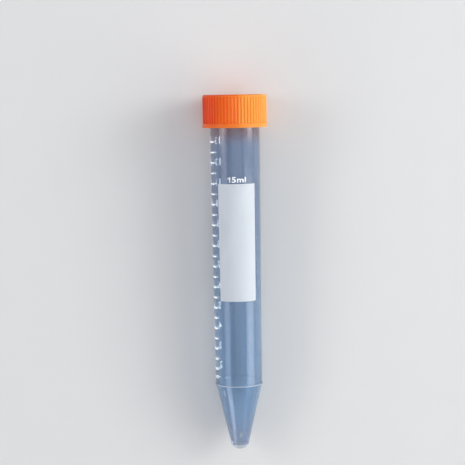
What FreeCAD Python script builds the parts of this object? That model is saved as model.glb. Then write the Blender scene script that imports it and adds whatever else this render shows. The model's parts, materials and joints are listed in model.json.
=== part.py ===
"""A 15 ml conical centrifuge tube with its screw cap, lying on a bench.

Each body is drawn lying down, with its own Y axis for an axis.  The tube and the
cap are turned from sections drawn out to the side, which puts the seams of their
turned faces there and not underneath.  The panel's section is drawn upwards.  The
tube's y = 0 is its tip and the cap's y = 0 is its lower edge.  The placements at
the end lay the tube on the cap's flange and on the bead at its shoulder, the two
rings that it rests on.  Lengths are in millimetres and angles in degrees.
"""
import FreeCAD, Part
import Sketcher
import math
import os
from FreeCAD import Vector

SIZES = {
    # tube
    "ConeHeight": 22.8,  # tip to bead
    "BarrelLength": 95.8,  # bead to rim
    "BarrelDiameter": 16.5,  # over the straight stretch under the cap
    "StraightLength": 12.2,  # of the barrel before its draft starts
    "ShoulderDiameter": 15.6,  # of the drafted barrel where it meets the cone
    "ConeHalfAngle": 13.0,
    "TipRadius": 3.9,  # of the domed end
    "TipCorner": 1.8,  # round between the dome and the cone
    "TipFloor": 1.6,  # plastic between the dome and the cavity
    "BoreDiameter": 13.54,  # 144 mm2, so that each millilitre takes 6.94 mm
    "BeadHeight": 0.2,  # moulding line round the shoulder
    "BeadWidth": 0.5,
    "NeckDiameter": 16.1,  # root of the screw thread
    "NeckCover": 0.2,  # how far the cap reaches down past the neck's foot
    "RimChamfer": 0.25,
    # printed writing panel
    "PanelDrop": 18.7,  # from the foot of the neck to the panel's upper edge
    "PanelLength": 39.1,
    "PanelAngle": 93.0,  # how far it wraps round the barrel
    "PanelThickness": 0.08,
    # cap
    "CapHeight": 10.8,
    "CapTopWall": 1.35,
    "FlangeDiameter": 21.6,
    "FlangeHeight": 1.2,
    "FlangeChamfer": 0.1,
    "RibDiameter": 21.35,  # over the crests
    "RibDepth": 0.36,
    "RibCrest": 0.3,
    "RibBase": 0.86,
    "RibSink": 0.1,  # how far the base lies under the wall's surface
    "RibCount": 60,
    "TopRound": 0.72,  # round over the ribs' ends, cut as two flats
    "ThreadRoom": 1.05,  # between the neck and the skirt, for both threads
    "SkirtChamfer": 0.3,
    "PlugLength": 2.2,  # seal plug inside the tube's mouth
    "PlugWall": 0.8,
    "PlugLead": 0.4,
    # clearances
    "SeatGap": 0.05,  # rim to the inside of the cap's top
    "PlugClearance": 0.06,
}

doc = FreeCAD.newDocument("ConicalTube")
sheet = doc.addObject("Spreadsheet::Sheet", "Sizes")
for row, (alias, size) in enumerate(SIZES.items(), start=1):
    sheet.set(f"A{row}", alias)
    sheet.set(f"B{row}", str(size))
    sheet.setAlias(f"B{row}", alias)
doc.recompute()

# Heights and radii that several features share, as expressions on the sheet
RIM = "(Sizes.ConeHeight + Sizes.BarrelLength)"
CAP_FOOT = f"({RIM} + Sizes.SeatGap + Sizes.CapTopWall - Sizes.CapHeight)"
NECK_FOOT = f"({CAP_FOOT} + Sizes.NeckCover)"
DRAFT_TOP = f"({NECK_FOOT} - Sizes.StraightLength)"
BARREL_R = "(Sizes.BarrelDiameter / 2)"
SHOULDER_R = "(Sizes.ShoulderDiameter / 2)"
NECK_R = "(Sizes.NeckDiameter / 2)"
BORE_R = "(Sizes.BoreDiameter / 2)"
BEAD_R = f"({SHOULDER_R} + Sizes.BeadHeight)"
DRAFT = f"(({BARREL_R} - {SHOULDER_R}) / ({DRAFT_TOP} - Sizes.ConeHeight))"
FLANGE_R = "(Sizes.FlangeDiameter / 2)"
CREST_R = "(Sizes.RibDiameter / 2)"
ROOT_R = f"({CREST_R} - Sizes.RibDepth)"
SKIRT_R = f"({NECK_R} + Sizes.ThreadRoom)"
PLUG_R = f"({BORE_R} - Sizes.PlugClearance)"
CAP_INSIDE = "(Sizes.CapHeight - Sizes.CapTopWall)"


def value(expression):
    """The number that an expression on the sheet stands for."""
    result = sheet.evalExpression(expression)
    return float(getattr(result, "Value", result))


def new_body(name):
    body = doc.addObject("PartDesign::Body", name)
    body.Label = name
    return body


def new_sketch(body, role, name, turned=0):
    """An empty sketch on one of the body's own origin planes, turned on that plane."""
    plane = next(f for f in body.Origin.OriginFeatures if f.Role == role)
    sketch = body.newObject("Sketcher::SketchObject", name)
    sketch.AttachmentSupport = (plane, [""])
    sketch.MapMode = "FlatFace"
    sketch.AttachmentOffset = FreeCAD.Placement(Vector(), FreeCAD.Rotation(Vector(0, 0, 1), turned))
    return sketch


def side_section(body, name):
    """A sketch whose first axis is the body's Y and whose second points to its side, -X."""
    return new_sketch(body, "XY_Plane", name, 90)


def point(corner):
    along, across = corner
    return Vector(value(along), value(across), 0)


def bind(sketch, kind, expression, *where):
    """Add one dimension to a sketch, driven by an expression."""
    number = sketch.addConstraint(Sketcher.Constraint(kind, *where, value(expression)))
    sketch.renameConstraint(number, f"{kind}{number}")
    sketch.setExpression(f"Constraints.{kind}{number}", expression)


def hold(sketch, edge, end, corner):
    """Hold an edge's end at its two distances from the sketch's origin."""
    along, across = corner
    if along == "0":
        sketch.addConstraint(Sketcher.Constraint("PointOnObject", edge, end, -2))
    else:
        bind(sketch, "DistanceX", along, -1, 1, edge, end)
    if across == "0":
        sketch.addConstraint(Sketcher.Constraint("PointOnObject", edge, end, -1))
    else:
        bind(sketch, "DistanceY", across, -1, 1, edge, end)


def path(sketch, corners):
    """Straight edges through the corners, every corner held; returns first and last."""
    ends = [point(corner) for corner in corners]
    edges = []
    for start, stop, corner in zip(ends, ends[1:], corners):
        edge = sketch.addGeometry(Part.LineSegment(start, stop))
        if edges:
            sketch.addConstraint(Sketcher.Constraint("Coincident", edges[-1], 2, edge, 1))
        hold(sketch, edge, 1, corner)
        edges.append(edge)
    hold(sketch, edges[-1], 2, corners[-1])
    return edges[0], edges[-1]


def outline(sketch, corners):
    """A closed outline of straight edges with every corner held."""
    first, last = path(sketch, corners)
    closing = sketch.addGeometry(Part.LineSegment(point(corners[-1]), point(corners[0])))
    sketch.addConstraint(Sketcher.Constraint("Coincident", last, 2, closing, 1))
    sketch.addConstraint(Sketcher.Constraint("Coincident", closing, 2, first, 1))


def turn(body, kind, sketch, name):
    """Revolve a sketch about its horizontal axis, which is the body's Y axis."""
    feature = body.newObject(kind, name)
    feature.Profile = sketch
    feature.ReferenceAxis = (sketch, ["H_Axis"])
    feature.Angle = 360
    return feature


def dome(sketch, reach, radius, start_angle):
    """An arc centred on the axis, from start_angle round to the axis's near side.

    reach is the distance from the sketch's origin to the arc's end on the axis.
    """
    circle = Part.Circle(Vector(reach + radius, 0, 0), Vector(0, 0, 1), radius)
    arc = sketch.addGeometry(Part.ArcOfCircle(circle, math.radians(start_angle), math.pi))
    sketch.addConstraint(Sketcher.Constraint("PointOnObject", arc, 3, -1))
    return arc


def cone_side(sketch, upper_edge, upper_end, arc):
    """A straight side at the cone's angle, tangent to the arc at its foot."""
    foot = sketch.getPoint(arc, 1)
    side = sketch.addGeometry(Part.LineSegment(foot, sketch.getPoint(upper_edge, upper_end)))
    sketch.addConstraint(Sketcher.Constraint("Coincident", side, 2, upper_edge, upper_end))
    sketch.addConstraint(Sketcher.Constraint("Tangent", side, 1, arc, 1))
    bind(sketch, "Angle", "Sizes.ConeHalfAngle * 1 deg", side)


# Tube: one moulding.  Its wall is one section, from the bead up the outside, over
# the rim, down the bore and round the two ends of the tip.
tube = new_body("tube")
wall = side_section(tube, "wall_section")
BEAD_FOOT = "(Sizes.ConeHeight - Sizes.BeadWidth / 2)"
BEAD_TOP = "(Sizes.ConeHeight + Sizes.BeadWidth / 2)"
bead_foot_r = f"({SHOULDER_R} - Sizes.BeadWidth / 2 * tan(Sizes.ConeHalfAngle * 1 deg))"
outside, bore = path(
    wall,
    [
        (BEAD_FOOT, bead_foot_r),
        ("Sizes.ConeHeight", BEAD_R),
        (BEAD_TOP, f"({SHOULDER_R} + {DRAFT} * Sizes.BeadWidth / 2)"),
        (DRAFT_TOP, BARREL_R),
        (NECK_FOOT, BARREL_R),
        (f"({NECK_FOOT} + {BARREL_R} - {NECK_R})", NECK_R),
        (f"({RIM} - Sizes.RimChamfer)", NECK_R),
        (RIM, f"({NECK_R} - Sizes.RimChamfer)"),
        (RIM, f"({BORE_R} + Sizes.RimChamfer)"),
        (f"({RIM} - Sizes.RimChamfer)", BORE_R),
        ("Sizes.ConeHeight", BORE_R),
    ],
)
side_normal = 90 + value("Sizes.ConeHalfAngle")
corner_start = side_normal + 40  # near where the corner meets the dome; the sketch finds it
tip_radius = value("Sizes.TipRadius")
corner_radius = value("Sizes.TipCorner")

tip = dome(wall, 0, tip_radius, corner_start)
wall.addConstraint(Sketcher.Constraint("Coincident", tip, 2, -1, 1))
bind(wall, "Radius", "Sizes.TipRadius", tip)

towards_corner = Vector(math.cos(math.radians(corner_start)), math.sin(math.radians(corner_start)), 0)
corner_centre = Vector(tip_radius, 0, 0) + towards_corner * (tip_radius - corner_radius)
corner_circle = Part.Circle(corner_centre, Vector(0, 0, 1), corner_radius)
tip_corner = wall.addGeometry(
    Part.ArcOfCircle(corner_circle, math.radians(side_normal), math.radians(corner_start))
)
bind(wall, "Radius", "Sizes.TipCorner", tip_corner)
wall.addConstraint(Sketcher.Constraint("Tangent", tip_corner, 2, tip, 1))
cone_side(wall, outside, 1, tip_corner)

cavity_end = dome(wall, value("Sizes.TipFloor"), value(f"{BORE_R} / 3"), side_normal)
bind(wall, "DistanceX", "Sizes.TipFloor", -1, 1, cavity_end, 2)
wall.addConstraint(Sketcher.Constraint("PointOnObject", cavity_end, 2, -1))
cone_side(wall, bore, 2, cavity_end)

floor = wall.addGeometry(Part.LineSegment(Vector(0, 0, 0), wall.getPoint(cavity_end, 2)))
wall.addConstraint(Sketcher.Constraint("Coincident", floor, 1, tip, 2))
wall.addConstraint(Sketcher.Constraint("Coincident", floor, 2, cavity_end, 2))
turn(tube, "PartDesign::Revolution", wall, "tube_wall")

# Writing panel: the printed field on the barrel, facing up
PANEL_TOP = f"({NECK_FOOT} - Sizes.PanelDrop)"
PANEL_FOOT = f"({PANEL_TOP} - Sizes.PanelLength)"
panel_top_r = f"({SHOULDER_R} + {DRAFT} * ({PANEL_TOP} - Sizes.ConeHeight))"
panel_foot_r = f"({SHOULDER_R} + {DRAFT} * ({PANEL_FOOT} - Sizes.ConeHeight))"
writing_panel = new_body("writing_panel")
field = new_sketch(writing_panel, "YZ_Plane", "panel_section")
outline(
    field,
    [
        (PANEL_FOOT, panel_foot_r),
        (PANEL_TOP, panel_top_r),
        (PANEL_TOP, f"({panel_top_r} + Sizes.PanelThickness)"),
        (PANEL_FOOT, f"({panel_foot_r} + Sizes.PanelThickness)"),
    ],
)
printed = turn(writing_panel, "PartDesign::Revolution", field, "printed_field")
printed.Midplane = True
printed.setExpression("Angle", "Sizes.PanelAngle")

# Cap: one moulding, with its seal plug inside and its finger ribs outside
CAP_BORE_FOOT_R = f"({SKIRT_R} + Sizes.SkirtChamfer)"
PLUG_INSIDE_R = f"({PLUG_R} - Sizes.PlugWall)"
PLUG_END = f"({CAP_INSIDE} - Sizes.PlugLength)"
cap = new_body("cap")
shell = side_section(cap, "cap_section")
outline(
    shell,
    [
        ("0", CAP_BORE_FOOT_R),
        ("0", f"({FLANGE_R} - Sizes.FlangeChamfer)"),
        ("Sizes.FlangeChamfer", FLANGE_R),
        ("(Sizes.FlangeHeight - Sizes.FlangeChamfer)", FLANGE_R),
        ("Sizes.FlangeHeight", f"({FLANGE_R} - Sizes.FlangeChamfer)"),
        ("Sizes.FlangeHeight", ROOT_R),
        ("Sizes.CapHeight", ROOT_R),
        ("Sizes.CapHeight", "0"),
        (CAP_INSIDE, "0"),
        (CAP_INSIDE, PLUG_INSIDE_R),
        (PLUG_END, PLUG_INSIDE_R),
        (PLUG_END, f"({PLUG_R} - Sizes.PlugLead)"),
        (f"({PLUG_END} + Sizes.PlugLead)", PLUG_R),
        (CAP_INSIDE, PLUG_R),
        (CAP_INSIDE, SKIRT_R),
        ("Sizes.SkirtChamfer", SKIRT_R),
    ],
)
turn(cap, "PartDesign::Revolution", shell, "cap_wall")

# One rib runs from inside the flange to the top, its base sunk in the wall
RIB_START = "(Sizes.FlangeHeight / 2)"
RIB_FOOT_R = f"({ROOT_R} - Sizes.RibSink)"
rib_section = new_sketch(cap, "XZ_Plane", "rib_section")
rib_section.setExpression("AttachmentOffset.Base.z", f"-{RIB_START}")
outline(
    rib_section,
    [
        ("-Sizes.RibBase / 2", RIB_FOOT_R),
        ("Sizes.RibBase / 2", RIB_FOOT_R),
        ("Sizes.RibCrest / 2", CREST_R),
        ("-Sizes.RibCrest / 2", CREST_R),
    ],
)
rib = cap.newObject("PartDesign::Pad", "rib")
rib.Profile = rib_section
rib.Reversed = True
rib.setExpression("Length", f"Sizes.CapHeight - {RIB_START}")
ribs = cap.newObject("PartDesign::PolarPattern", "ribs")
ribs.Originals = [rib]
ribs.Axis = (rib_section, ["N_Axis"])
ribs.Angle = 360
ribs.setExpression("Occurrences", "Sizes.RibCount")
cap.Tip = ribs

# Two flats on a round trim the ends of all the ribs and the edge behind them.  They
# meet at FLAT_INSET from the crests and the top, and the tool runs on past both.
FLAT_INSET = "(Sizes.TopRound * (1 - sqrt(0.5)))"
FLAT_RUN = f"(1.5 * (Sizes.TopRound - {FLAT_INSET}))"
FLAT_RISE = f"(1.5 * {FLAT_INSET})"
flats_y = f"(Sizes.CapHeight - {FLAT_INSET})"
flats_r = f"({CREST_R} - {FLAT_INSET})"
trimming = side_section(cap, "top_round_section")
outline(
    trimming,
    [
        (flats_y, flats_r),
        (f"({flats_y} + {FLAT_RISE})", f"({flats_r} - {FLAT_RUN})"),
        (f"({flats_y} + {FLAT_RUN})", f"({flats_r} + {FLAT_RUN})"),
        (f"({flats_y} - {FLAT_RUN})", f"({flats_r} + {FLAT_RISE})"),
    ],
)
doc.recompute()
volume_with_sharp_edge = cap.Shape.Volume
turn(cap, "PartDesign::Groove", trimming, "top_round")
doc.recompute()
if cap.Shape.Volume >= volume_with_sharp_edge:
    raise RuntimeError("the round at the cap's top cuts nothing")

# At rest the flange's lower edge and the bead touch the bench, so the tube's axis
# rises towards the cap, and the origin is under the middle of the whole part.
RUN = f"({CAP_FOOT} + Sizes.FlangeChamfer - Sizes.ConeHeight)"
TILT = f"atan(({FLANGE_R} - {BEAD_R}) / {RUN})"
TOP_EDGE_R = f"({CREST_R} - Sizes.TopRound)"
NEAR_END = f"(Sizes.TipRadius * cos({TILT}) - Sizes.TipRadius)"
FAR_END = f"(({CAP_FOOT} + Sizes.CapHeight) * cos({TILT}) + {TOP_EDGE_R} * sin({TILT}))"
REST_Y = f"(-({NEAR_END} + {FAR_END}) / 2)"
REST_Z = f"({BEAD_R} * cos({TILT}) - Sizes.ConeHeight * sin({TILT}))"


def lay(body, up_the_axis):
    """Place a body on the tube's axis, its own origin this far from the tip."""
    body.Placement = FreeCAD.Placement(Vector(0, 0, 0), FreeCAD.Rotation(Vector(1, 0, 0), 1))
    body.setExpression("Placement.Rotation.Angle", TILT)
    body.setExpression("Placement.Base.y", f"{REST_Y} + {up_the_axis} * cos({TILT})")
    body.setExpression("Placement.Base.z", f"{REST_Z} + {up_the_axis} * sin({TILT})")


lay(tube, "0")
lay(writing_panel, "0")
lay(cap, CAP_FOOT)
doc.recompute()

for item in doc.Objects:
    if {"Invalid", "Error"} & set(item.State):
        raise RuntimeError(f"{item.Label} failed to build")
pieces = [tube, writing_panel, cap]
for piece in pieces:
    if piece.Shape.isNull() or not piece.Shape.isValid():
        raise RuntimeError(f"{piece.Label} is not a valid solid")

os.makedirs("parts", exist_ok=True)
for piece in pieces:
    piece.Shape.exportStep(f"parts/{piece.Label}.step")
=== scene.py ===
"""The looks of a 15 ml conical tube with an orange screw cap, built round its frame.

Each piece is modelled upright, round the tube's own axis, with the tip at the origin
and the writing panel to the front (-Y), and is then laid down where the frame has it.
Sizes on the tube are in millimetres, and lamps and the camera stand off in metres.
"""
import json
import math

import bmesh
import bpy
from mathutils import Matrix, Vector


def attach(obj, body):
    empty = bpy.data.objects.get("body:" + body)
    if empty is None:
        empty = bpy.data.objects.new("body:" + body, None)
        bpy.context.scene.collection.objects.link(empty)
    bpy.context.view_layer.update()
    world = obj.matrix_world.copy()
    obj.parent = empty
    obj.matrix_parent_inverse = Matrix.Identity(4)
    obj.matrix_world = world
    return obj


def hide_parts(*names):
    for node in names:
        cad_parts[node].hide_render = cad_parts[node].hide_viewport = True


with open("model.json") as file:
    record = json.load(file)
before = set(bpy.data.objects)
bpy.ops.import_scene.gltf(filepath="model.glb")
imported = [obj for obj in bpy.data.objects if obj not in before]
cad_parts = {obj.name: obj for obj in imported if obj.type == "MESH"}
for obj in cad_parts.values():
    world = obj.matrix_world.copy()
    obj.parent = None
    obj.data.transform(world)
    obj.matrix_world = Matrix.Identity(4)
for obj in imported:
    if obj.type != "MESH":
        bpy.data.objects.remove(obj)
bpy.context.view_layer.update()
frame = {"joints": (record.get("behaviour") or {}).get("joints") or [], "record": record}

MM = 0.001

# Where the tube lies: its axis from the cap's joint, its tip from the cap's seat
CAP_FOOT = 109.2
mounts = {mount["name"]: mount for mount in frame["record"]["mounts"]}
AXIS = Vector(frame["joints"][0]["axis"]).normalized()
TIP = Vector(mounts["cap_seat"]["pos_m"]) - AXIS * (CAP_FOOT * MM)
SIDE = Vector((1, 0, 0))
LYING = Matrix.Translation(TIP) @ Matrix((SIDE, AXIS.cross(SIDE), AXIS)).transposed().to_4x4()

# Heights above the tip and radii, in millimetres
BEAD = 22.8
SHOULDER_R = 7.8
DRAFT_TOP = 97.2
NECK_FOOT = 109.4
BARREL_R = 8.25
NECK_R = 8.05
BORE_R = 6.77
RIM = 118.6
CONE_ANGLE = 13
CONE = math.radians(CONE_ANGLE)
CAP_TOP = 120.0
CAP_CEILING = 118.65
SKIRT_R = 9.1
CREST_R = 10.675
FLANGE_R = 10.7

# Points closer than this are one point
SEAM_GAP = 0.0005


def barrel_r(height):
    """The barrel's outer radius at a height above the tip."""
    if height >= DRAFT_TOP:
        return BARREL_R
    if height >= BEAD:
        return SHOULDER_R + (BARREL_R - SHOULDER_R) * (height - BEAD) / (DRAFT_TOP - BEAD)
    return SHOULDER_R - (BEAD - height) * math.tan(CONE)


def arc(centre_r, centre_height, radius, first, last, steps):
    """Stations on an arc, from first to last in degrees, 0 being straight out."""
    stations = []
    for step in range(steps + 1):
        angle = math.radians(first + (last - first) * step / steps)
        out, up = radius * math.cos(angle), radius * math.sin(angle)
        stations.append((centre_r + out, centre_height + up))
    return stations


# ---------------------------------------------------------------- modelling steps


def deselect_all():
    if bpy.context.object and bpy.context.object.mode != "OBJECT":
        bpy.ops.object.mode_set(mode="OBJECT")
    bpy.ops.object.select_all(action="DESELECT")


def select_only(piece):
    deselect_all()
    piece.select_set(True)
    bpy.context.view_layer.objects.active = piece


def edit(piece, select="SELECT"):
    """Open a piece in edit mode, with all of it or none of it selected."""
    select_only(piece)
    bpy.ops.object.mode_set(mode="EDIT")
    bpy.ops.mesh.select_mode(type="VERT")
    bpy.ops.mesh.select_all(action=select)


def pick(piece, wanted):
    """In edit mode, select the vertices whose place meets the test."""
    mesh = bmesh.from_edit_mesh(piece.data)
    for face in mesh.faces:
        face.select = False
    for edge in mesh.edges:
        edge.select = False
    for vertex in mesh.verts:
        vertex.select = wanted(vertex.co)
    mesh.select_flush(True)
    bmesh.update_edit_mesh(piece.data)


def apply_modifier(piece, kind, **settings):
    """Put a modifier on a piece and apply it."""
    select_only(piece)
    modifier = piece.modifiers.new(kind.lower(), kind)
    for name, setting in settings.items():
        setattr(modifier, name, setting)
    bpy.ops.object.modifier_apply(modifier=modifier.name)


def line(name, stations):
    """A line of edges through (radius, height) stations, drawn in the plane y = 0."""
    deselect_all()
    radius, height = stations[0]
    bpy.ops.mesh.primitive_plane_add(size=MM, location=(radius * MM, 0, height * MM))
    piece = bpy.context.object
    piece.name = name
    bpy.ops.object.transform_apply(location=True, rotation=True, scale=True)
    bpy.ops.object.mode_set(mode="EDIT")
    bpy.ops.mesh.merge(type="CENTER")
    for (r0, h0), (r1, h1) in zip(stations, stations[1:]):
        step = ((r1 - r0) * MM, 0, (h1 - h0) * MM)
        bpy.ops.mesh.extrude_region_move(TRANSFORM_OT_translate={"value": step})
    return piece


def turned(name, stations, segments):
    """A turned piece: the line spun once round the axis, its seam and poles closed."""
    piece = line(name, stations)
    bpy.ops.mesh.select_all(action="SELECT")
    bpy.ops.mesh.spin(steps=segments, angle=2 * math.pi, center=(0, 0, 0), axis=(0, 0, 1))
    bpy.ops.mesh.select_all(action="SELECT")
    bpy.ops.mesh.remove_doubles(threshold=SEAM_GAP * MM)
    bpy.ops.mesh.normals_make_consistent(inside=False)
    bpy.ops.object.mode_set(mode="OBJECT")
    return piece


def smooth(piece, degrees):
    select_only(piece)
    bpy.ops.object.shade_smooth_by_angle(angle=math.radians(degrees))


def lay(piece):
    """Lay an upright piece down on the tube's axis, with its place in its mesh."""
    select_only(piece)
    bpy.ops.object.transform_apply(location=True, rotation=True, scale=True)
    piece.matrix_world = LYING
    bpy.ops.object.transform_apply(location=True, rotation=True, scale=True)


def join(name, pieces):
    """Join several pieces into one with a name of its own."""
    deselect_all()
    for piece in pieces:
        piece.select_set(True)
    bpy.context.view_layer.objects.active = pieces[0]
    bpy.ops.object.join()
    pieces[0].name = name
    return pieces[0]


def dress(piece, body, material):
    """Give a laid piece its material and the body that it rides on."""
    piece.data.materials.clear()
    piece.data.materials.append(material)
    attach(piece, body)


# ---------------------------------------------------------------- materials

# A colour mix's sockets, which share their names with those of its other kinds
MIX_FIRST = 6
MIX_SECOND = 7
MIX_RESULT = 2

# The clouds in the plastic go from clear to full between these shares of the noise
CLOUD_LOW = 0.3
CLOUD_HIGH = 0.7
SKIN_DEPTH = 0.02
PLASTIC_IOR = 1.49


def new_material(name):
    """A material, its nodes and its shader."""
    material = bpy.data.materials.new(name)
    material.use_nodes = True
    tree = material.node_tree
    shader = tree.nodes["Principled BSDF"]
    return material, tree, shader


def add(tree, kind, **inputs):
    """Add a node with some of its inputs set."""
    made = tree.nodes.new(kind)
    for name, setting in inputs.items():
        made.inputs[name.replace("_", " ")].default_value = setting
    return made


def link(tree, source, target):
    tree.links.new(source, target)


def ranged(tree, source, **ends):
    """A value fitted from one range to another."""
    fitted = add(tree, "ShaderNodeMapRange", **ends)
    link(tree, source, fitted.inputs["Value"])
    return fitted.outputs["Result"]


def combined(tree, operation, first, second):
    """Two values put through one sum, such as MAXIMUM or MULTIPLY."""
    made = tree.nodes.new("ShaderNodeMath")
    made.operation = operation
    link(tree, first, made.inputs[0])
    link(tree, second, made.inputs[1])
    return made.outputs[0]


def length_of(tree, vector):
    """The length of a vector, such as how far a place is from the origin."""
    made = tree.nodes.new("ShaderNodeVectorMath")
    made.operation = "LENGTH"
    link(tree, vector, made.inputs[0])
    return made.outputs["Value"]


def mixed_colour(tree, share, first, second):
    """A mix of two colours, each of them a socket or a plain colour."""
    made = tree.nodes.new("ShaderNodeMix")
    made.data_type = "RGBA"
    link(tree, share, made.inputs["Factor"])
    for index, colour in ((MIX_FIRST, first), (MIX_SECOND, second)):
        if isinstance(colour, tuple):
            made.inputs[index].default_value = (*colour, 1)
        else:
            link(tree, colour, made.inputs[index])
    return made.outputs[MIX_RESULT]


def make_surface_group():
    """Moulded plastic's surface: cloudy colour, uneven gloss and a fine skin.

    Along is the object's own place, already turned so that Z runs up the tube. At a
    draw of 1 the clouds are round, and the lower it is, the longer they run up the tube.
    """
    group = bpy.data.node_groups.new("moulded_surface", "ShaderNodeTree")
    sockets = group.interface
    for name, kind, default in (
        ("Along", "NodeSocketVector", (0, 0, 0)),
        ("Colour", "NodeSocketColor", (0.5, 0.5, 0.5, 1)),
        ("Deeper colour", "NodeSocketColor", (0.4, 0.4, 0.4, 1)),
        ("Cloud scale", "NodeSocketFloat", 200.0),
        ("Grain scale", "NodeSocketFloat", 2500.0),
        ("Draw", "NodeSocketFloat", 0.15),
        ("Gloss low", "NodeSocketFloat", 0.3),
        ("Gloss high", "NodeSocketFloat", 0.4),
        ("Grain height", "NodeSocketFloat", 0.2),
    ):
        socket = sockets.new_socket(name, in_out="INPUT", socket_type=kind)
        socket.default_value = default
    for name, kind in (
        ("Colour", "NodeSocketColor"),
        ("Roughness", "NodeSocketFloat"),
        ("Normal", "NodeSocketVector"),
    ):
        sockets.new_socket(name, in_out="OUTPUT", socket_type=kind)
    inside = group.nodes.new("NodeGroupInput")
    outside = group.nodes.new("NodeGroupOutput")

    stretch = group.nodes.new("ShaderNodeCombineXYZ")
    stretch.inputs["X"].default_value = 1
    stretch.inputs["Y"].default_value = 1
    link(group, inside.outputs["Draw"], stretch.inputs["Z"])
    drawn = group.nodes.new("ShaderNodeVectorMath")
    drawn.operation = "MULTIPLY"
    link(group, inside.outputs["Along"], drawn.inputs[0])
    link(group, stretch.outputs[0], drawn.inputs[1])

    cloud = add(group, "ShaderNodeTexNoise", Detail=4.0, Roughness=0.55)
    link(group, drawn.outputs[0], cloud.inputs["Vector"])
    link(group, inside.outputs["Cloud scale"], cloud.inputs["Scale"])
    depth = ranged(group, cloud.outputs["Fac"], From_Min=CLOUD_LOW, From_Max=CLOUD_HIGH)
    colours = inside.outputs["Colour"], inside.outputs["Deeper colour"]
    link(group, mixed_colour(group, depth, *colours), outside.inputs["Colour"])

    gloss = add(group, "ShaderNodeMapRange", From_Min=CLOUD_LOW, From_Max=CLOUD_HIGH)
    link(group, cloud.outputs["Fac"], gloss.inputs["Value"])
    link(group, inside.outputs["Gloss low"], gloss.inputs["To Min"])
    link(group, inside.outputs["Gloss high"], gloss.inputs["To Max"])
    link(group, gloss.outputs["Result"], outside.inputs["Roughness"])

    grain = add(group, "ShaderNodeTexNoise", Detail=5.0, Roughness=0.6)
    link(group, inside.outputs["Along"], grain.inputs["Vector"])
    link(group, inside.outputs["Grain scale"], grain.inputs["Scale"])
    skin = add(group, "ShaderNodeBump", Distance=SKIN_DEPTH * MM)
    link(group, inside.outputs["Grain height"], skin.inputs["Strength"])
    link(group, grain.outputs["Fac"], skin.inputs["Height"])
    link(group, skin.outputs["Normal"], outside.inputs["Normal"])
    return group


moulded_surface = make_surface_group()


def upright_place(tree):
    """The object's own place, turned so that Z runs up the tube from its tip."""
    coordinates = tree.nodes.new("ShaderNodeTexCoord")
    turned_place = tree.nodes.new("ShaderNodeMapping")
    turned_place.vector_type = "TEXTURE"
    turned_place.inputs["Location"].default_value = TIP
    turned_place.inputs["Rotation"].default_value = LYING.to_euler()
    link(tree, coordinates.outputs["Object"], turned_place.inputs["Vector"])
    return turned_place.outputs["Vector"]


def surface(tree, shader, place, **settings):
    """Put the moulded surface on a material, with its own values."""
    group = tree.nodes.new("ShaderNodeGroup")
    group.node_tree = moulded_surface
    for name, setting in settings.items():
        group.inputs[name.replace("_", " ")].default_value = setting
    link(tree, place, group.inputs["Along"])
    link(tree, group.outputs["Colour"], shader.inputs["Base Color"])
    link(tree, group.outputs["Roughness"], shader.inputs["Roughness"])
    link(tree, group.outputs["Normal"], shader.inputs["Normal"])
    return group


def graded(tree, place, axis, start, end, stops):
    """A colour that changes slowly along one of the upright axes, between two places.

    Each stop is its share of the way and its colour, and the stops are in order.
    """
    parts = tree.nodes.new("ShaderNodeSeparateXYZ")
    link(tree, place, parts.inputs[0])
    way = ranged(tree, parts.outputs[axis], From_Min=start * MM, From_Max=end * MM)
    ramp = tree.nodes.new("ShaderNodeValToRGB")
    ramp.color_ramp.interpolation = "EASE"
    elements = ramp.color_ramp.elements
    for element, (share, colour) in zip(elements, (stops[0], stops[-1])):
        element.position = share
        element.color = (*colour, 1)
    for share, colour in stops[1:-1]:
        elements.new(share).color = (*colour, 1)
    link(tree, way, ramp.inputs["Fac"])
    return ramp.outputs["Color"]


# The clear plastic's colour by height, and its colour where it is cloudier: paler at the
# tip as painted light gathered in the thick plastic, bluer in the cone and greyer up the
# barrel as a painted reflection, darker and brownish just under the cap as a painted
# shadow of the cap with a painted reflection of its orange, and plain on the neck
CLEAR_TINTS_AND_PAINTED_LIGHT = (
    (3, (0.34, 0.44, 0.62), (0.30, 0.40, 0.58)),
    (16, (0.32, 0.50, 0.73), (0.28, 0.46, 0.70)),
    (33, (0.32, 0.50, 0.73), (0.28, 0.46, 0.70)),
    (93.5, (0.275, 0.375, 0.56), (0.25, 0.345, 0.53)),
    (102.5, (0.275, 0.375, 0.56), (0.25, 0.345, 0.53)),
    # a painted shadow of the cap, with a painted reflection of its orange
    (108.5, (0.34, 0.245, 0.29), (0.31, 0.215, 0.26)),
    (109.6, (0.34, 0.245, 0.29), (0.31, 0.215, 0.26)),
    (111.5, (0.52, 0.55, 0.62), (0.47, 0.51, 0.58)),
)


def make_clear_plastic(name, transmission, painted_paleness, coat, coat_roughness):
    """Hazy clear plastic, which lets less light through, and is painted paler by a share where
    it stands as painted light on the bead and the tip.
    """
    material, tree, shader = new_material(name)
    place = upright_place(tree)
    group = surface(
        tree, shader, place,
        Cloud_scale=160.0, Grain_scale=900.0, Draw=0.12,
        Gloss_low=0.07, Gloss_high=0.12, Grain_height=0.15,
    )
    for socket, choice in (("Colour", 1), ("Deeper colour", 2)):
        stops = []
        for tint in CLEAR_TINTS_AND_PAINTED_LIGHT:
            paler = tuple(part + (1 - part) * painted_paleness for part in tint[choice])
            stops.append((tint[0] / RIM, paler))
        link(tree, graded(tree, place, "Z", 0, RIM, stops), group.inputs[socket])
    shader.inputs["Transmission Weight"].default_value = transmission
    shader.inputs["Coat Weight"].default_value = coat
    shader.inputs["Coat Roughness"].default_value = coat_roughness
    shader.inputs["IOR"].default_value = PLASTIC_IOR
    return material


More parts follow.
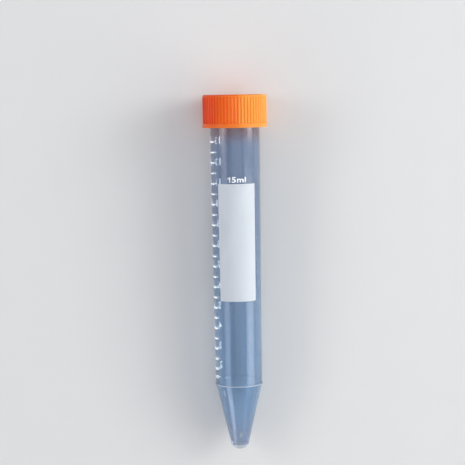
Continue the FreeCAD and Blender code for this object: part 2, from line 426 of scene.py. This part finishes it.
def make_bore_plastic():
    """The bore, moulded on a polished core: the same plastic without the outside's haze."""
    material, tree, shader = new_material("bore_plastic")
    surface(
        tree, shader, upright_place(tree),
        Colour=(0.93, 0.95, 0.97, 1), Deeper_colour=(0.90, 0.93, 0.96, 1),
        Cloud_scale=160.0, Grain_scale=900.0, Draw=0.12,
        Gloss_low=0.06, Gloss_high=0.10, Grain_height=0.1,
    )
    shader.inputs["Transmission Weight"].default_value = 0.97
    shader.inputs["IOR"].default_value = PLASTIC_IOR
    return material


def from_axis(tree, place):
    """How far a place is from the tube's axis."""
    flat = tree.nodes.new("ShaderNodeVectorMath")
    flat.operation = "MULTIPLY"
    flat.inputs[1].default_value = (1, 1, 0)
    link(tree, place, flat.inputs[0])
    return length_of(tree, flat.outputs[0])


# The cap's orange by its share of the way across, with painted shade making it darker
# and redder at the left and painted light making it paler at the right, and the plain
# orange of its top and its inside, which gives way to the painted one between two radii
CAP_ORANGES_PAINTED_LIGHT = (
    (0.0, (0.62, 0.028, 0.001)),
    (0.10, (0.86, 0.055, 0.001)),
    (0.30, (0.97, 0.130, 0.004)),
    (0.50, (0.97, 0.190, 0.016)),
    (0.61, (0.98, 0.325, 0.044)),
    (1.0, (0.98, 0.36, 0.052)),
)
PLAIN_ORANGE = (0.97, 0.19, 0.018)
# the paler orange of scuffs, and of the crests, where it is wear and a painted highlight
WORN_AND_HIGHLIT_ORANGE = (1.0, 0.42, 0.09)
PLAIN_TO_R = 9.6
PAINTED_SHADE_FROM_R = 10.4
WEAR_AND_SHEEN_FROM_R = 10.59
WEAR_AND_SHEEN_FULL_R = 10.68


def worn_crests(tree, place, colour):
    """The ribs' crests painted paler, partly handling wear and partly a painted highlight, and a
    scuff here and there.
    """
    # the crests painted paler: partly wear, partly a painted highlight
    crest = ranged(
        tree, from_axis(tree, place),
        From_Min=WEAR_AND_SHEEN_FROM_R * MM, From_Max=WEAR_AND_SHEEN_FULL_R * MM, To_Max=0.28,
    )
    patches = add(tree, "ShaderNodeTexNoise", Scale=420.0, Detail=3.0, Roughness=0.7)
    link(tree, place, patches.inputs["Vector"])
    scuff = ranged(tree, patches.outputs["Fac"], From_Min=0.66, From_Max=0.74, To_Max=0.5)
    wear_and_sheen = combined(tree, "MAXIMUM", crest, scuff)
    return mixed_colour(tree, wear_and_sheen, colour, WORN_AND_HIGHLIT_ORANGE)


def deeper(colour, depth):
    """An orange with its red and its green brought down."""
    red, green, blue = colour
    return red * depth, green * depth, blue


def make_cap_plastic():
    """The cap's orange, with painted light and shade: darker and redder to one side, paler to
    the other.
    """
    material, tree, shader = new_material("cap_plastic")
    place = upright_place(tree)
    group = surface(
        tree, shader, place,
        Cloud_scale=220.0, Grain_scale=2600.0, Draw=0.4,
        Gloss_low=0.28, Gloss_high=0.38, Grain_height=0.35,
    )
    for socket, depth in (("Colour", 1.0), ("Deeper colour", 0.9)):
        stops = [(share, deeper(colour, depth)) for share, colour in CAP_ORANGES_PAINTED_LIGHT]
        # painted light and shade across the cap: darker and redder at the left, paler at the
        # right
        shaded_across = graded(tree, place, "X", -FLANGE_R, FLANGE_R, stops)
        painted_shade_share = ranged(
            tree, from_axis(tree, place),
            From_Min=PLAIN_TO_R * MM, From_Max=PAINTED_SHADE_FROM_R * MM,
        )
        colour = mixed_colour(tree, painted_shade_share, deeper(PLAIN_ORANGE, depth), shaded_across)
        link(tree, colour, group.inputs[socket])
    link(tree, worn_crests(tree, place, group.outputs["Colour"]), shader.inputs["Base Color"])
    shader.inputs["Subsurface Weight"].default_value = 0.5
    shader.inputs["Subsurface Radius"].default_value = (1.0, 0.25, 0.06)
    shader.inputs["Subsurface Scale"].default_value = 0.9 * MM
    shader.inputs["Specular IOR Level"].default_value = 0.17
    return material


def make_white_ink():
    """The writing panel's ink, thin enough to look a little grey."""
    material, tree, shader = new_material("white_ink")
    surface(
        tree, shader, upright_place(tree),
        Colour=(0.66, 0.715, 0.78, 1), Deeper_colour=(0.61, 0.665, 0.73, 1),
        Cloud_scale=140.0, Grain_scale=3000.0, Draw=0.5,
        Gloss_low=0.5, Gloss_high=0.62, Grain_height=0.3,
    )
    return material


def make_mark_ink(name, painted_glow, light=(0.90, 0.95, 1.0)):
    """The marks and the lettering: a thicker, brighter white than the panel's.

    It has a painted glow, though it is no lamp, standing in for the light that the clear wall
    carries to it.
    """
    material, tree, shader = new_material(name)
    surface(
        tree, shader, upright_place(tree),
        Colour=(0.92, 0.93, 0.94, 1), Deeper_colour=(0.86, 0.87, 0.89, 1),
        Cloud_scale=300.0, Grain_scale=3000.0, Draw=0.5,
        Gloss_low=0.45, Gloss_high=0.6, Grain_height=0.3,
    )
    # a painted glow, though the ink is no lamp
    shader.inputs["Emission Color"].default_value = (*light, 1)
    shader.inputs["Emission Strength"].default_value = painted_glow
    return material


clear_plastic = make_clear_plastic(
    "clear_plastic", transmission=0.82, painted_paleness=0.0, coat=0.4, coat_roughness=0.09)
# The bead's crest and the tip, painted paler and less clear: a painted highlight line along the
# bead, and at the tip its frosted gate with painted light gathered in the thick plastic
bead_painted_highlight = make_clear_plastic(
    "bead_painted_highlight", transmission=0.35, painted_paleness=0.7, coat=1.0, coat_roughness=0.05)
tip_frost_and_painted_light = make_clear_plastic(
    "tip_frost_and_painted_light", transmission=0.55, painted_paleness=0.6, coat=1.0, coat_roughness=0.05)
bore_plastic = make_bore_plastic()
cap_plastic = make_cap_plastic()
white_ink = make_white_ink()
# All these inks glow with painted light, though none is a lamp; the back of the print glows the
# most
mark_ink = make_mark_ink("mark_ink", 0.3)
ink_back_painted_glow = make_mark_ink("ink_back_painted_glow", 2.0, (1.0, 0.90, 0.78))
size_ink = make_mark_ink("size_ink", 0.26)
raised_white_glow = make_mark_ink("raised_white_glow", 0.8)


# ---------------------------------------------------------------- tube

TIP_DOME_R = 3.9
TIP_CORNER_R = 1.8
CORNER_ANGLE = -55.5
TIP_FLOOR = 1.6
CAVITY_DOME_R = 2.358
BEAD_ROUND = 0.26
BEAD_INSET = 0.06
BEAD_SWEEP = 76
NECK_STEP = 0.2
RIM_ROUND = 0.25
BEAD_CREST = 0.09
TIP_FROST_AND_PAINTED_LIGHT = 1.9
TUBE_SEGMENTS = 160


def make_tube():
    """The tube's wall: up its outside from the tip, over the rim and down its bore."""
    meet = math.radians(CORNER_ANGLE)
    inset = TIP_DOME_R - TIP_CORNER_R
    corner_r = inset * math.cos(meet)
    corner_height = TIP_DOME_R + inset * math.sin(meet)
    outside = arc(0, TIP_DOME_R, TIP_DOME_R, -90, CORNER_ANGLE, 8)
    outside += arc(corner_r, corner_height, TIP_CORNER_R, CORNER_ANGLE, -CONE_ANGLE, 7)[1:]
    outside += [(barrel_r(height), height) for height in (4, 8, 12, 16, 20)]
    outside += arc(SHOULDER_R - BEAD_INSET, BEAD, BEAD_ROUND, -BEAD_SWEEP, BEAD_SWEEP, 8)
    outside += [(barrel_r(height), height) for height in (23.5, 35, 50, 65, 80, DRAFT_TOP)]
    outside += [(BARREL_R, NECK_FOOT), (NECK_R, NECK_FOOT + NECK_STEP)]
    outside += arc(NECK_R - RIM_ROUND, RIM - RIM_ROUND, RIM_ROUND, 0, 90, 4)
    inside = arc(BORE_R + RIM_ROUND, RIM - RIM_ROUND, RIM_ROUND, 90, 180, 4)
    inside += [(BORE_R, height) for height in (100, 80, 60, 40, BEAD)]
    foot = TIP_FLOOR + CAVITY_DOME_R
    side_foot = foot - CAVITY_DOME_R * math.sin(CONE)
    for height in (18, 13, 8):
        inside.append((BORE_R - (BEAD - height) * math.tan(CONE), height))
    inside.append((CAVITY_DOME_R * math.cos(CONE), side_foot))
    inside += arc(0, foot, CAVITY_DOME_R, -CONE_ANGLE, -90, 8)[1:]
    piece = turned("clear_tube", outside + inside, TUBE_SEGMENTS)
    smooth(piece, 24)
    # which plastic each face shows: the outside's haze, the bore's polish, the bead's crest
    # painted paler as a painted highlight, or the round of the tip, frosted and painted paler
    # with painted light
    outer, bore, bead, tip = range(4)
    finishes = []
    for face in piece.data.polygons:
        place = face.center
        height = place.z / MM
        if face.normal.dot((place.x, place.y, min(0, place.z - foot * MM))) < 0:
            finishes.append(bore)
        elif abs(height - BEAD) < BEAD_CREST:
            finishes.append(bead)
        elif height < TIP_FROST_AND_PAINTED_LIGHT:
            finishes.append(tip)
        else:
            finishes.append(outer)
    lay(piece)
    dress(piece, "tube", clear_plastic)
    for plastic in (bore_plastic, bead_painted_highlight, tip_frost_and_painted_light):
        piece.data.materials.append(plastic)
    for face, finish in zip(piece.data.polygons, finishes):
        face.material_index = finish
    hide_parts("tube")


make_tube()


# ---------------------------------------------------------------- cap

RIB_COUNT = 60
COLUMNS_PER_RIB = 8
# How far a column of the mesh falls back from the ribs' crest, by its place between two ribs
RIB_FALL = {1: 0.03, 2: 0.11, 3: 0.21, 4: 0.25}
RIB_FOOT = 110.5
RIB_HEAD = 119.3
SHOULDER_ROUND = 0.5
SHOULDER_INSET = 0.04
SHOULDER_DROP = 0.01
EDGE_R = CREST_R - SHOULDER_INSET - SHOULDER_ROUND
# Where the crests end above the ribs' foot, and the flange's slope begins under it
CREST_FOOT = 0.05
SLOPE_DROP = 0.07
SLOPE_STEP = 0.03
FLANGE_ROUND = 0.1
FLANGE_HEAD = 110.3
SKIRT_MOUTH_R = 9.4
MOUTH_STEP = 0.3
PLUG_R = 6.71
PLUG_WALL = 0.8
PLUG_FOOT = 116.45
PLUG_CHAMFER = 0.4


def make_cap():
    """The cap's shell, turned from the top's middle round to the ceiling's, then ribbed."""
    stations = [(radius, CAP_TOP) for radius in (0, 3, 6, 8.6)]
    shoulder = CAP_TOP - SHOULDER_DROP - SHOULDER_ROUND
    stations += arc(EDGE_R, shoulder, SHOULDER_ROUND, 90, 0, 6)
    stations += [(CREST_R, height) for height in (119.35, 119.15, 118.95, 117, 113.5)]
    stations += [(CREST_R, RIB_FOOT + CREST_FOOT), (CREST_R + SLOPE_STEP, RIB_FOOT - SLOPE_DROP)]
    stations += arc(FLANGE_R, FLANGE_HEAD, FLANGE_ROUND, 90, 0, 3)
    stations += arc(FLANGE_R, CAP_FOOT + FLANGE_ROUND, FLANGE_ROUND, 0, -90, 3)
    stations += [(SKIRT_MOUTH_R, CAP_FOOT), (SKIRT_R, CAP_FOOT + MOUTH_STEP)]
    stations += [(SKIRT_R, CAP_CEILING), (PLUG_R, CAP_CEILING)]
    stations += [(PLUG_R, PLUG_FOOT + PLUG_CHAMFER), (PLUG_R - PLUG_CHAMFER, PLUG_FOOT)]
    stations += [(PLUG_R - PLUG_WALL, PLUG_FOOT), (PLUG_R - PLUG_WALL, CAP_CEILING)]
    stations += [(3, CAP_CEILING), (0, CAP_CEILING)]
    columns = RIB_COUNT * COLUMNS_PER_RIB
    piece = turned("ribbed_cap", stations, columns)

    def on_ribs(place):
        return RIB_FOOT * MM < place.z < RIB_HEAD * MM and place.xy.length > EDGE_R * MM

    def from_rib(place):
        """How many columns a place is from the nearest rib."""
        around = math.atan2(place.x, -place.y) / (2 * math.pi) * columns
        offset = round(around) % COLUMNS_PER_RIB
        return min(offset, COLUMNS_PER_RIB - offset)

    edit(piece, "DESELECT")
    for offset, fall in RIB_FALL.items():
        pick(piece, lambda place: on_ribs(place) and from_rib(place) == offset)
        factor = (CREST_R - fall) / CREST_R
        bpy.ops.transform.resize(value=(factor, factor, 1), center_override=(0, 0, 0))
    bpy.ops.object.mode_set(mode="OBJECT")
    smooth(piece, 50)
    lay(piece)
    dress(piece, "cap", cap_plastic)
    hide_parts("cap")


make_cap()


# ---------------------------------------------------------------- print on the barrel

INK = 0.05
SINK = 0.02
PANEL_INK = 0.08
PANEL_FOOT = 51.6
PANEL_HEAD = 90.7
PANEL_EDGE = 46.5


def curved_patch(name, low, high, left, right, steps, thickness, sink):
    """A patch of print on the barrel between two heights and two bearings.

    Bearings are in degrees round the tube, 0 to the front and 90 to the right.
    """
    piece = line(name, [(barrel_r(low) - sink, low), (barrel_r(high) - sink, high)])
    bpy.ops.mesh.select_all(action="SELECT")
    start = math.radians(left - 90)
    bpy.ops.transform.rotate(value=-start, orient_axis="Z", center_override=(0, 0, 0))
    sweep = math.radians(right - left)
    bpy.ops.mesh.spin(steps=steps, angle=-sweep, center=(0, 0, 0), axis=(0, 0, 1))
    bpy.ops.mesh.select_all(action="SELECT")
    bpy.ops.mesh.remove_doubles(threshold=SEAM_GAP * MM)
    bpy.ops.object.mode_set(mode="OBJECT")
    # the patch faces away from the axis before it gets its thickness
    face = piece.data.polygons[0]
    if face.normal.dot(Vector((face.center.x, face.center.y, 0))) < 0:
        edit(piece)
        bpy.ops.mesh.flip_normals()
        bpy.ops.object.mode_set(mode="OBJECT")
    apply_modifier(piece, "SOLIDIFY", thickness=(thickness + sink) * MM, offset=1)
    return piece


def make_writing_panel():
    piece = curved_patch(
        "printed_panel", PANEL_FOOT, PANEL_HEAD, -PANEL_EDGE, PANEL_EDGE,
        steps=62, thickness=PANEL_INK, sink=0,
    )
    smooth(piece, 30)
    lay(piece)
    dress(piece, "tube", white_ink)
    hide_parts("writing_panel")


make_writing_panel()

ML_HEIGHT = 6.945
TOP_MARK = 104.42
TOP_ML = 13
# The lowest mark, in half millilitres, stands a little higher than an even scale has it
LOWEST_HALF = 3
LOWEST_LIFT = 0.7
MARK_HALF_WIDTH = 0.17
MARK_START = -63
WHOLE_MARK_END = -104
HALF_MARK_END = -95
FACING_IN = -0.7


def mark_height(ml):
    """The height of a volume on the scale, which is even on the barrel."""
    return TOP_MARK - (TOP_ML - ml) * ML_HEIGHT


def print_on(piece):
    """Ink a laid piece, its back glowing with a painted light that stands in for the light the
    wall carries to it.
    """
    dress(piece, "tube", mark_ink)
    piece.data.materials.append(ink_back_painted_glow)
    to_axis = LYING.inverted()
    turn = to_axis.to_3x3()
    for face in piece.data.polygons:
        place = to_axis @ face.center
        facing = (turn @ face.normal).xy.dot(place.xy.normalized())
        face.material_index = int(facing < FACING_IN)


def make_marks():
    marks = []
    for half in range(LOWEST_HALF, 2 * TOP_ML + 1):
        height = mark_height(half / 2)
        if half == LOWEST_HALF:
            height += LOWEST_LIFT
        end = WHOLE_MARK_END if half % 2 == 0 else HALF_MARK_END
        marks.append(curved_patch(
            f"mark_{half}", height - MARK_HALF_WIDTH, height + MARK_HALF_WIDTH, end, MARK_START,
            steps=18, thickness=INK, sink=SINK,
        ))
    piece = join("volume_marks", marks)
    smooth(piece, 30)
    lay(piece)
    print_on(piece)


make_marks()

DIGIT_HEIGHT = 2.44
NUMBERS_END = -109.5
SIZE_HEIGHT = 92.0
SIZE_LETTERS = 1.85
CAPITAL_SHARE = 0.73
STRIP_WIDTH = 0.35
STAND_OFF = 12


def make_wrap_form():
    """The wall's outside alone, finely divided, to press the lettering on."""
    heights = [*range(3, 24, 2), 30, 60, DRAFT_TOP, NECK_FOOT]
    return turned("wrap_form", [(barrel_r(height), height) for height in heights], 360)


wrap_form = make_wrap_form()


def lettering(
    name, words, height, bearing, letter_height, weight, stretch,
    spacing=1.0, ends=False, thickness=INK, sink=SINK,
):
    """Plain lettering on the tube's wall, with its middle at a height.

    The bearing is the lettering's middle, or its right-hand end if it ends there. Weight
    thickens the strokes, and stretch widens them all.
    """
    deselect_all()
    bpy.ops.object.text_add(location=(0, 0, 0))
    text = bpy.context.object
    text.data.body = words
    text.data.align_x = "CENTER"
    text.data.align_y = "CENTER"
    text.data.size = letter_height / CAPITAL_SHARE * MM
    text.data.offset = weight * MM
    text.data.space_character = spacing
    text.data.resolution_u = 4
    bpy.ops.object.convert(target="MESH")
    piece = bpy.context.object
    piece.name = name
    edit(piece)
    bpy.ops.transform.resize(value=(stretch, 1, 1), center_override=(0, 0, 0))
    bpy.ops.mesh.remove_doubles(threshold=2 * SEAM_GAP * MM)
    # upright strips, so that the letters can follow the wall
    low = min(vertex.co.x for vertex in piece.data.vertices)
    high = max(vertex.co.x for vertex in piece.data.vertices)
    strips = max(3, round((high - low) / (STRIP_WIDTH * MM)))
    for strip in range(1, strips):
        bpy.ops.mesh.select_all(action="SELECT")
        cut = low + (high - low) * strip / strips
        bpy.ops.mesh.bisect(plane_co=(cut, 0, 0), plane_no=(1, 0, 0))
    bpy.ops.object.mode_set(mode="OBJECT")
    # stand it up in front of the wall, facing out, and press it on
    piece.rotation_euler = (math.pi / 2, 0, 0)
    piece.location = (0, -STAND_OFF * MM, height * MM)
    bpy.ops.object.transform_apply(location=True, rotation=True, scale=True)
    apply_modifier(
        piece, "SHRINKWRAP", target=wrap_form, wrap_method="PROJECT", use_project_y=True,
        use_positive_direction=True, use_negative_direction=False,
    )
    apply_modifier(
        piece, "SOLIDIFY", thickness=(thickness + sink) * MM,
        offset=(thickness - sink) / (thickness + sink),
    )
    turn = math.radians(bearing)
    if ends:
        turn -= (high - low) / 2 / (barrel_r(height) * MM)
    piece.rotation_euler = (0, 0, turn)
    bpy.ops.object.transform_apply(location=True, rotation=True, scale=True)
    return piece


def make_numbers():
    """The numbers of the whole millilitres, ending in line with one another."""
    numbers = []
    for ml in range(2, TOP_ML + 1):
        numbers.append(lettering(
            f"number_{ml}", str(ml), mark_height(ml), NUMBERS_END, DIGIT_HEIGHT,
            weight=0.03, stretch=1.8, spacing=1.2, ends=True,
        ))
    piece = join("volume_numbers", numbers)
    lay(piece)
    print_on(piece)


make_numbers()


def make_size_text():
    """The size over the panel, whose 1 has a flag."""
    one = lettering(
        "size_one", "1", SIZE_HEIGHT, -15.6, SIZE_LETTERS, weight=0.035, stretch=1.1)
    flag = lettering(
        "size_flag", "/", SIZE_HEIGHT + 0.5, -19.2, 0.45, weight=0.06, stretch=1.5)
    rest = lettering(
        "size_rest", "5ml", SIZE_HEIGHT, 5.8, SIZE_LETTERS, weight=0.045, stretch=1.28,
        spacing=1.04)
    piece = join("size_text", [one, flag, rest])
    lay(piece)
    dress(piece, "tube", size_ink)


make_size_text()


def make_raised_number():
    """The 1 that is raised on the cone, where printing can't reach, drawn in white with a
    painted glow.
    """
    piece = lettering(
        "raised_one", "1", 18.6, -126, 2.2, weight=0.05, stretch=1.2,
        thickness=0.14, sink=0.05)
    lay(piece)
    dress(piece, "tube", raised_white_glow)


def make_mould_number():
    """The mould's own small number by the tip."""
    piece = lettering(
        "mould_number", "8", 5.4, 4, 1.7, weight=0.03, stretch=0.8,
        thickness=0.06, sink=0.05)
    lay(piece)
    dress(piece, "tube", tip_frost_and_painted_light)


make_raised_number()
make_mould_number()
bpy.data.objects.remove(wrap_form)


# ---------------------------------------------------------------- screw threads

THREAD_PITCH = 3.0
THREAD_TURNS = 2
THREAD_FOOT = 111.6
THREAD_SINK = 0.1
NECK_THREAD_R = 8.72
CAP_THREAD_R = 8.35
CAP_THREAD_START = 120
ROOT_HALF = 0.75
CREST_HALF = 0.2
STEPS_PER_TURN = 120
RUN_OUT = math.radians(50)
RUN_OUT_STEPS = 8
ANGLE_SLACK = 0.01


def screw_thread(name, root, crest, foot, start):
    """A right-handed ridge from a root on the wall to a crest, laid down.

    It winds up from a height and a bearing, and runs out into the wall at both ends.
    """
    corners = [(root, -ROOT_HALF), (crest, -CREST_HALF), (crest, CREST_HALF), (root, ROOT_HALF)]
    piece = line(name, [(radius, foot + height) for radius, height in corners])
    bpy.ops.mesh.select_all(action="SELECT")
    bpy.ops.mesh.edge_face_add()
    bpy.ops.mesh.delete(type="ONLY_FACE")
    apply_modifier(
        piece, "SCREW", angle=2 * math.pi * THREAD_TURNS,
        screw_offset=THREAD_PITCH * THREAD_TURNS * MM, axis="Z", use_smooth_shade=False,
        steps=STEPS_PER_TURN * THREAD_TURNS, render_steps=STEPS_PER_TURN * THREAD_TURNS,
    )
    edit(piece)
    bpy.ops.mesh.fill_holes(sides=4)
    bpy.ops.mesh.select_all(action="SELECT")
    bpy.ops.mesh.normals_make_consistent(inside=False)

    def wound(place):
        """How far along the thread a place is, as an angle from its start."""
        bearing = math.atan2(place.y, place.x)
        climbed = (place.z / MM - foot) / THREAD_PITCH * 2 * math.pi
        return bearing + 2 * math.pi * round((climbed - bearing) / (2 * math.pi))

    middle = (root + crest) / 2
    last = 2 * math.pi * THREAD_TURNS
    for step in range(RUN_OUT_STEPS):
        low, high = (RUN_OUT * part / RUN_OUT_STEPS for part in (step, step + 1))
        share = (step + 0.5) / RUN_OUT_STEPS
        factor = (root + (crest - root) * share) / crest

        def in_run_out(place):
            from_end = min(wound(place), last - wound(place))
            on_crest = (place.xy.length / MM > middle) == (crest > root)
            return on_crest and low - ANGLE_SLACK <= from_end < high - ANGLE_SLACK

        pick(piece, in_run_out)
        bpy.ops.transform.resize(value=(factor, factor, 1), center_override=(0, 0, 0))
    bpy.ops.object.mode_set(mode="OBJECT")
    piece.rotation_euler = (0, 0, math.radians(start))
    smooth(piece, 30)
    lay(piece)
    return piece


neck_thread = screw_thread("neck_thread", NECK_R - THREAD_SINK, NECK_THREAD_R, THREAD_FOOT, 0)
dress(neck_thread, "tube", clear_plastic)
# the cap's thread runs half a pitch below the neck's
cap_thread_foot = THREAD_FOOT + THREAD_PITCH * (CAP_THREAD_START / 360 - 1 / 2)
cap_thread = screw_thread(
    "cap_thread", SKIRT_R + THREAD_SINK, CAP_THREAD_R, cap_thread_foot, CAP_THREAD_START)
dress(cap_thread, "cap", cap_plastic)


# ---------------------------------------------------------------- floor, light, camera

STUDIO_PALE = (0.90, 0.94, 1.0, 1)
STUDIO_SEEN = 0.80
STUDIO_LIGHT = 0.38
PAPER = (0.75, 0.76, 0.77)
PAPER_PALER = (0.77, 0.78, 0.79)
# The floor is wide, and goes over into the background between two distances, in metres
FLOOR_WIDTH = 12
FADE_FROM = 0.35
FADE_TO = 1.3


def seen_rays(tree):
    """1 for what is seen of the studio, straight, in a gloss or through the plastic."""
    rays = tree.nodes.new("ShaderNodeLightPath")
    seen = rays.outputs["Is Camera Ray"]
    for kind in ("Is Glossy Ray", "Is Transmission Ray"):
        seen = combined(tree, "MAXIMUM", seen, rays.outputs[kind])
    return seen


def make_floor():
    """Pale paper that goes over into the studio's background far behind the tube."""
    deselect_all()
    bpy.ops.mesh.primitive_plane_add(size=FLOOR_WIDTH, location=(0, 0, 0))
    floor = bpy.context.object
    floor.name = "floor"
    material, tree, shader = new_material("floor_paper")
    place = tree.nodes.new("ShaderNodeTexCoord").outputs["Object"]
    grain = add(tree, "ShaderNodeTexNoise", Scale=60.0, Detail=3.0)
    link(tree, place, grain.inputs["Vector"])
    tone = mixed_colour(tree, grain.outputs["Fac"], PAPER, PAPER_PALER)
    link(tree, tone, shader.inputs["Base Color"])
    shader.inputs["Roughness"].default_value = 0.7
    far = ranged(tree, length_of(tree, place), From_Min=FADE_FROM, From_Max=FADE_TO)
    background = add(tree, "ShaderNodeEmission", Color=STUDIO_PALE, Strength=STUDIO_SEEN)
    over = tree.nodes.new("ShaderNodeMixShader")
    link(tree, combined(tree, "MULTIPLY", far, seen_rays(tree)), over.inputs["Fac"])
    link(tree, shader.outputs[0], over.inputs[1])
    link(tree, background.outputs[0], over.inputs[2])
    link(tree, over.outputs[0], tree.nodes["Material Output"].inputs["Surface"])
    floor.data.materials.append(material)


WARM_WHITE = (1.0, 0.97, 0.93)

# Each lamp's name, bearing, distance, place along the tube, length, width, watts, colour
LAMPS = (
    ("key_wide", 62, 0.9, -0.24, 0.54, 0.72, 1.9, WARM_WHITE),
    ("key_core", 62, 0.88, -0.25, 0.50, 0.40, 0.65, WARM_WHITE),
    ("key_cap", 62, 0.9, 0.40, 0.60, 0.80, 2.6, WARM_WHITE),
    ("key_cap_core", 63, 0.88, 0.28, 0.41, 0.30, 2.6, WARM_WHITE),
    ("fill_cap", -57, 0.88, 0.28, 0.41, 0.20, 1.3, (1.0, 0.95, 0.93)),
    ("fill_strip", -57, 0.9, -0.30, 1.50, 0.42, 2.1, (1.0, 0.91, 0.87)),
    ("key_glint", 72, 0.88, 0.082, 0.022, 0.40, 0.17, WARM_WHITE),
    ("fill_cone", -70, 0.9, -0.72, 0.5, 0.22, 0.5, (1.0, 0.78, 0.66)),
    ("fill_glint", -68, 0.88, 0.080, 0.036, 0.36, 0.09, (1.0, 0.95, 0.93)),
    ("top_soft", 5, 1.1, 0.1, 1.2, 0.9, 1.6, (0.93, 0.97, 1.0)),
)


def strip_light(name, bearing, distance, along, length, width, watts, colour):
    """A long soft light beside the tube; bearing is in degrees from straight above.

    Along is how far its middle is past the tube's tip, towards the cap.
    """
    data = bpy.data.lights.new(name, "AREA")
    data.shape = "RECTANGLE"
    data.size = width
    data.size_y = length
    data.energy = watts
    data.color = colour
    lamp = bpy.data.objects.new(name, data)
    bpy.context.scene.collection.objects.link(lamp)
    angle = math.radians(bearing)
    lamp.location = (distance * math.sin(angle), TIP.y + along, distance * math.cos(angle))
    lamp.rotation_euler = (0, angle, 0)


def make_world():
    """The studio, which is seen paler than the light that it gives."""
    world = bpy.data.worlds.new("studio")
    world.use_nodes = True
    tree = world.node_tree
    background = tree.nodes["Background"]
    background.inputs["Color"].default_value = STUDIO_PALE
    strength = ranged(tree, seen_rays(tree), To_Min=STUDIO_LIGHT, To_Max=STUDIO_SEEN)
    link(tree, strength, background.inputs["Strength"])
    bpy.context.scene.world = world


# The camera's distance from the tube's axis and height above its tip, then in degrees how
# far it stands round from the front, looks down, rolls and looks aside, and its view
EYE_DISTANCE = 0.4889
EYE_HEIGHT = 0.1230
EYE_TURNS = (-1.7, 5.735, 0.977, 0.1585)
VIEW_ANGLE = 18.043


def make_camera():
    """Over the lying tube, seeing it as from in front of an upright one."""
    around, down, roll, aside = (math.radians(angle) for angle in EYE_TURNS)
    eye = Vector((math.sin(around) * EYE_DISTANCE, -math.cos(around) * EYE_DISTANCE, EYE_HEIGHT))
    level = Vector((-math.sin(around), math.cos(around), 0))
    up = Vector((0, 0, 1))
    ahead = level * math.cos(down) - up * math.sin(down)
    top = level * math.sin(down) + up * math.cos(down)
    right = ahead.cross(top)
    top = top * math.cos(roll) + right * math.sin(roll)
    right = ahead.cross(top)
    ahead = ahead * math.cos(aside) - right * math.sin(aside)
    right = ahead.cross(top)
    data = bpy.data.cameras.new("camera")
    data.angle = math.radians(VIEW_ANGLE)
    data.clip_start = 0.01
    camera = bpy.data.objects.new("camera", data)
    bpy.context.scene.collection.objects.link(camera)
    turn = Matrix((right, top, -ahead)).transposed().to_4x4()
    camera.matrix_world = LYING @ Matrix.Translation(eye) @ turn
    bpy.context.scene.camera = camera


make_floor()
for lamp in LAMPS:
    strip_light(*lamp)
make_world()
make_camera()
bpy.context.scene.view_settings.view_transform = "Standard"
